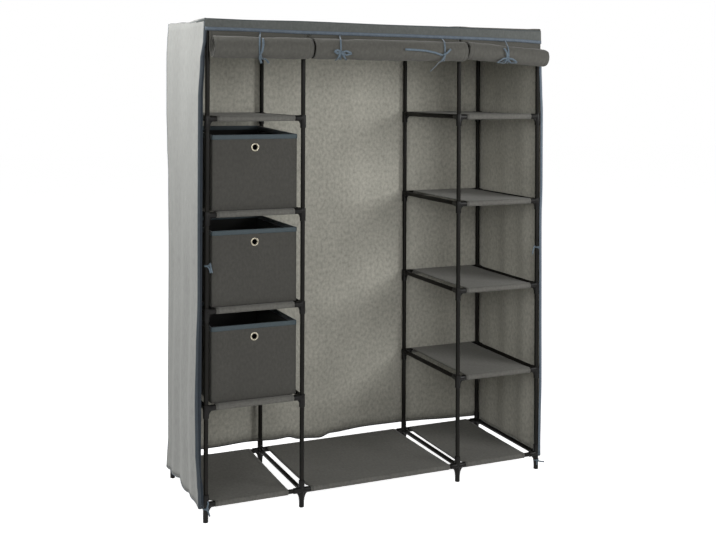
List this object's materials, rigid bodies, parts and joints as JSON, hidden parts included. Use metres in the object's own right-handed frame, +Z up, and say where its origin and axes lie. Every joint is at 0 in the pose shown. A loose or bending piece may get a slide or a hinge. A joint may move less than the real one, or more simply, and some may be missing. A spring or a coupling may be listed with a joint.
{
  "type": "portable fabric wardrobe",
  "caption": "Free-standing fabric wardrobe on a push-fit tube frame, with shelf columns beside a hanging bay, pull-out fabric boxes and front doors that roll up.",
  "frame": {"origin": "on the floor, under the middle of the bounding box", "axes": "+Z up, -Y towards the open front, +X to the right as seen from the front"},
  "size_m": [1.4, 0.5784, 1.7218],
  "materials": {
    "frame": "black moulded plastic sockets with black powder coated tube between them",
    "tube": "black powder coated steel tube",
    "shelf": "dark grey non-woven cloth, heat bonded",
    "drawer": "dark grey non-woven cloth over board",
    "binding": "slate blue woven tape",
    "eyelet": "plated steel eyelet",
    "cover": "grey non-woven cloth, heathered",
    "roof": "grey non-woven cloth",
    "door": "grey non-woven cloth",
    "tie": "blue ribbon"
  },
  "bodies": {
    "root": {"left_frame_0": "frame", "left_shelf_0": "shelf", "left_frame_1": "frame", "left_shelf_1": "shelf", "left_frame_2": "frame", "left_shelf_2": "shelf", "left_frame_3": "frame", "left_shelf_3": "shelf", "left_frame_4": "frame", "left_shelf_4": "shelf", "left_frame_5": "frame", "left_upright_outer_front": "tube", "left_upright_outer_back": "tube", "left_upright_inner_front": "tube", "left_upright_inner_back": "tube", "right_frame_0": "frame", "right_shelf_0": "shelf", "right_frame_1": "frame", "right_shelf_1": "shelf", "right_frame_2": "frame", "right_shelf_2": "shelf", "right_frame_3": "frame", "right_shelf_3": "shelf", "right_frame_4": "frame", "right_shelf_4": "shelf", "right_frame_5": "frame", "right_upright_outer_front": "tube", "right_upright_outer_back": "tube", "right_upright_inner_front": "tube", "right_upright_inner_back": "tube", "centre_rail_base_front": "tube", "centre_rail_base_back": "tube", "centre_rail_top_front": "tube", "centre_rail_top_back": "tube", "hanging_rail": "tube", "centre_shelf": "shelf", "cover_roof": "roof", "cover_side_left": "cover", "cover_side_right": "cover", "cover_back": "cover", "door_left_web": "door", "door_centre_web": "door", "door_right_web": "door"},
    "drawer_bottom": {"drawer_bottom_box": "drawer", "drawer_bottom_binding": "binding", "drawer_bottom_eyelet": "eyelet"},
    "drawer_middle": {"drawer_middle_box": "drawer", "drawer_middle_binding": "binding", "drawer_middle_eyelet": "eyelet"},
    "drawer_top": {"drawer_top_box": "drawer", "drawer_top_binding": "binding", "drawer_top_eyelet": "eyelet"},
    "door_left": {"door_left_roll": "door", "door_left_tie_1": "tie"},
    "door_centre": {"door_centre_roll": "door", "door_centre_tie_1": "tie", "door_centre_tie_2": "tie"},
    "door_right": {"door_right_roll": "door", "door_right_tie_1": "tie"}
  },
  "joints": [
    {"name": "drawer_bottom_slide", "type": "slide", "parent": "root", "child": "drawer_bottom", "axis": [0, -1, 0], "range_m": [0, 0.4]},
    {"name": "drawer_middle_slide", "type": "slide", "parent": "root", "child": "drawer_middle", "axis": [0, -1, 0], "range_m": [0, 0.4]},
    {"name": "drawer_top_slide", "type": "slide", "parent": "root", "child": "drawer_top", "axis": [0, -1, 0], "range_m": [0, 0.4]},
    {"name": "door_left_unroll", "type": "slide", "parent": "root", "child": "door_left", "axis": [0, 0, 1], "range_m": [-1.53, 0], "deforming": ["door_left_web"]},
    {"name": "door_centre_unroll", "type": "slide", "parent": "root", "child": "door_centre", "axis": [0, 0, 1], "range_m": [-1.53, 0], "deforming": ["door_centre_web"]},
    {"name": "door_right_unroll", "type": "slide", "parent": "root", "child": "door_right", "axis": [0, 0, 1], "range_m": [-1.53, 0], "deforming": ["door_right_web"]}
  ]
}
